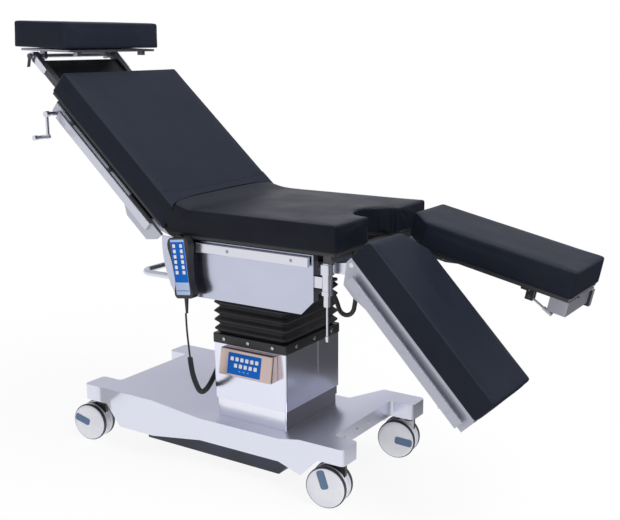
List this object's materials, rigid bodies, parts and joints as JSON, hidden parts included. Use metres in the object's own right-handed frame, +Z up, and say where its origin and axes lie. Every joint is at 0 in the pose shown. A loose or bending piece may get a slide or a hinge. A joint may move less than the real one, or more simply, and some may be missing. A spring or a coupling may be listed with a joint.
{
  "type": "operating table",
  "caption": "Electric operating table on a telescopic column with a wheeled base, jointed back and head sections, split leg sections, side rails and a hanging hand control.",
  "frame": {"origin": "on the floor, under the middle of the whole table's box at rest, 34 mm towards the foot end and 41 mm towards the hand control from the column's axis", "axes": "+X towards the foot end, +Y towards the side away from the hand control, +Z up"},
  "size_m": [1.8386, 0.618, 1.3741],
  "materials": {
    "satin_steel": "satin",
    "bright_steel": "polished",
    "grey_steel": "satin",
    "navy_paint": "satin",
    "black_paint": "satin",
    "cast_iron": "rough",
    "black_plastic": "matte",
    "white_plastic": "gloss",
    "panel_plastic": "satin",
    "blue_keypad": "satin",
    "bellows_rubber": "matte",
    "cord_rubber": "matte",
    "pad_cover": "satin",
    "board_black": "matte"
  },
  "bodies": {
    "base": {"base_shell": "satin_steel", "base_chassis": "cast_iron", "base_pan": "navy_paint", "column_skirt": "grey_steel", "lift_cylinder": "grey_steel"},
    "column_mid": {"mid_sleeve": "grey_steel", "lift_stage": "bright_steel"},
    "column": {"column_sleeve": "satin_steel", "lift_mast": "grey_steel", "bellows_collar": "black_plastic", "bellows": "bellows_rubber", "panel_box": "panel_plastic", "panel_keypad": "blue_keypad", "cord_outlet": "black_plastic", "coiled_cord": "cord_rubber"},
    "cardan": {"cardan_block": "grey_steel"},
    "saddle": {"saddle_box": "grey_steel"},
    "tabletop": {"seat_frame": "black_paint", "back_hinge_drives": "black_paint", "side_plate_near": "satin_steel", "side_plate_far": "satin_steel", "seat_rails": "bright_steel", "seat_board": "board_black", "seat_pad": "pad_cover", "push_handle": "bright_steel", "leg_posts": "bright_steel", "leg_hose": "cord_rubber", "pendant_body": "black_plastic", "pendant_keypad": "blue_keypad", "pendant_cord": "cord_rubber"},
    "back": {"back_frame": "satin_steel", "back_rails": "bright_steel", "back_board": "board_black", "back_pad": "pad_cover", "crank_gearbox": "black_paint"},
    "crank": {"crank": "bright_steel"},
    "lead_screw": {"lead_screw": "bright_steel"},
    "head_arms": {"head_arms": "black_paint", "head_shaft": "bright_steel"},
    "clamp_knob_near": {"clamp_knob_near": "black_plastic"},
    "clamp_knob_far": {"clamp_knob_far": "black_plastic"},
    "head": {"head_plate": "black_paint", "head_pad": "pad_cover"},
    "head_lever": {"head_lever": "black_paint"},
    "swivel_head_near": {"caster_fork_head_near": "black_plastic"},
    "wheels_head_near": {"caster_wheels_head_near": "white_plastic"},
    "swivel_head_far": {"caster_fork_head_far": "black_plastic"},
    "wheels_head_far": {"caster_wheels_head_far": "white_plastic"},
    "swivel_foot_near": {"caster_fork_foot_near": "black_plastic"},
    "wheels_foot_near": {"caster_wheels_foot_near": "white_plastic"},
    "swivel_foot_far": {"caster_fork_foot_far": "black_plastic"},
    "wheels_foot_far": {"caster_wheels_foot_far": "white_plastic"},
    "leg_bracket_near": {"leg_bracket_near": "bright_steel"},
    "leg_near": {"leg_frame_near": "satin_steel", "leg_pad_near": "pad_cover"},
    "leg_lever_near": {"leg_lever_near": "bright_steel"},
    "leg_bracket_far": {"leg_bracket_far": "bright_steel"},
    "leg_far": {"leg_frame_far": "satin_steel", "leg_pad_far": "pad_cover"},
    "leg_lever_far": {"leg_lever_far": "bright_steel"}
  },
  "joints": [
    {"name": "swivel_head_near", "type": "hinge", "parent": "base", "child": "swivel_head_near", "pos_m": [-0.61168, -0.171, 0.1], "axis": [0, 0, 1], "continuous": true},
    {"name": "roll_head_near", "type": "hinge", "parent": "swivel_head_near", "child": "wheels_head_near", "pos_m": [-0.64624, -0.17647, 0.0625], "axis": [-0.1564, 0.9877, 0], "continuous": true},
    {"name": "swivel_head_far", "type": "hinge", "parent": "base", "child": "swivel_head_far", "pos_m": [-0.61168, 0.253, 0.1], "axis": [0, 0, 1], "continuous": true},
    {"name": "roll_head_far", "type": "hinge", "parent": "swivel_head_far", "child": "wheels_head_far", "pos_m": [-0.64624, 0.24752, 0.0625], "axis": [-0.1564, 0.9877, 0], "continuous": true},
    {"name": "swivel_foot_near", "type": "hinge", "parent": "base", "child": "swivel_foot_near", "pos_m": [0.33332, -0.171, 0.1], "axis": [0, 0, 1], "continuous": true},
    {"name": "roll_foot_near", "type": "hinge", "parent": "swivel_foot_near", "child": "wheels_foot_near", "pos_m": [0.29875, -0.17647, 0.0625], "axis": [-0.1564, 0.9877, 0], "continuous": true},
    {"name": "swivel_foot_far", "type": "hinge", "parent": "base", "child": "swivel_foot_far", "pos_m": [0.33332, 0.253, 0.1], "axis": [0, 0, 1], "continuous": true},
    {"name": "roll_foot_far", "type": "hinge", "parent": "swivel_foot_far", "child": "wheels_foot_far", "pos_m": [0.29875, 0.24752, 0.0625], "axis": [-0.1564, 0.9877, 0], "continuous": true},
    {"name": "lift", "type": "slide", "parent": "base", "child": "column", "axis": [0, 0, 1], "range_m": [-0.06, 0.22]},
    {"name": "lift_stage", "type": "slide", "parent": "base", "child": "column_mid", "axis": [0, 0, 1], "range_m": [-0.03, 0.11]},
    {"name": "pitch", "type": "hinge", "parent": "column", "child": "cardan", "pos_m": [-0.03368, 0.041, 0.61], "axis": [0, -1, 0], "range_deg": [-25, 25], "deforming": ["bellows", "coiled_cord", "pendant_cord", "leg_hose"]},
    {"name": "roll", "type": "hinge", "parent": "cardan", "child": "saddle", "pos_m": [-0.03368, 0.041, 0.61], "axis": [1, 0, 0], "range_deg": [-20, 20]},
    {"name": "table_slide", "type": "slide", "parent": "saddle", "child": "tabletop", "axis": [1, 0, 0], "range_m": [-0.12, 0.12]},
    {"name": "back_raise", "type": "hinge", "parent": "tabletop", "child": "back", "pos_m": [-0.25068, 0.041, 0.75], "axis": [0, 1, 0], "range_deg": [-56.85, 33.15]},
    {"name": "crank_turn", "type": "hinge", "parent": "back", "child": "crank", "pos_m": [-0.71027, 0.041, 1.09721], "axis": [0, 1, 0], "range_deg": [0, 3600]},
    {"name": "screw_turn", "type": "hinge", "parent": "back", "child": "lead_screw", "pos_m": [-0.7243, 0.041, 1.12051], "axis": [-0.7449, 0, 0.6672], "range_deg": [0, 3600]},
    {"name": "head_extend", "type": "slide", "parent": "back", "child": "head_arms", "axis": [-0.7449, 0, 0.6672], "range_m": [0, 0.1]},
    {"name": "head_tilt", "type": "hinge", "parent": "head_arms", "child": "head", "pos_m": [-0.87021, 0.041, 1.27537], "axis": [0, 1, 0], "range_deg": [-50, 39.5]},
    {"name": "head_release", "type": "hinge", "parent": "head_arms", "child": "head_lever", "pos_m": [-0.87021, 0.041, 1.27537], "axis": [0, 1, 0], "range_deg": [-35, 0]},
    {"name": "knob_turn_near", "type": "hinge", "parent": "back", "child": "clamp_knob_near", "pos_m": [-0.76074, -0.139, 1.1263], "axis": [0.6672, 0, 0.7449], "continuous": true},
    {"name": "knob_turn_far", "type": "hinge", "parent": "back", "child": "clamp_knob_far", "pos_m": [-0.76074, 0.221, 1.1263], "axis": [0.6672, 0, 0.7449], "continuous": true},
    {"name": "leg_swing_near", "type": "hinge", "parent": "tabletop", "child": "leg_bracket_near", "pos_m": [0.30332, -0.194, 0.7], "axis": [0, 0, -1], "range_deg": [0, 90]},
    {"name": "leg_droop_near", "type": "hinge", "parent": "leg_bracket_near", "child": "leg_near", "pos_m": [0.38632, -0.194, 0.729], "axis": [0, 1, 0], "range_deg": [-61.3, 38.7]},
    {"name": "leg_release_near", "type": "hinge", "parent": "leg_near", "child": "leg_lever_near", "pos_m": [0.5987, -0.139, 0.42571], "axis": [0, 1, 0], "range_deg": [-12, 0], "stiffness_Nm_per_rad": 1.5},
    {"name": "leg_swing_far", "type": "hinge", "parent": "tabletop", "child": "leg_bracket_far", "pos_m": [0.30332, 0.276, 0.7], "axis": [0, 0, 1], "range_deg": [0, 90]},
    {"name": "leg_droop_far", "type": "hinge", "parent": "leg_bracket_far", "child": "leg_far", "pos_m": [0.38632, 0.276, 0.729], "axis": [0, 1, 0], "range_deg": [-27.1, 72.9]},
    {"name": "leg_release_far", "type": "hinge", "parent": "leg_far", "child": "leg_lever_far", "pos_m": [0.73245, 0.221, 0.59752], "axis": [0, 1, 0], "range_deg": [-12, 0], "stiffness_Nm_per_rad": 1.5}
  ],
  "couplings": [
    {"joint": "lift_stage", "follows": "lift", "ratio": 0.5},
    {"joint": "crank_turn", "follows": "head_extend", "rad_per_m": 628.32},
    {"joint": "screw_turn", "follows": "head_extend", "rad_per_m": 628.32}
  ]
}
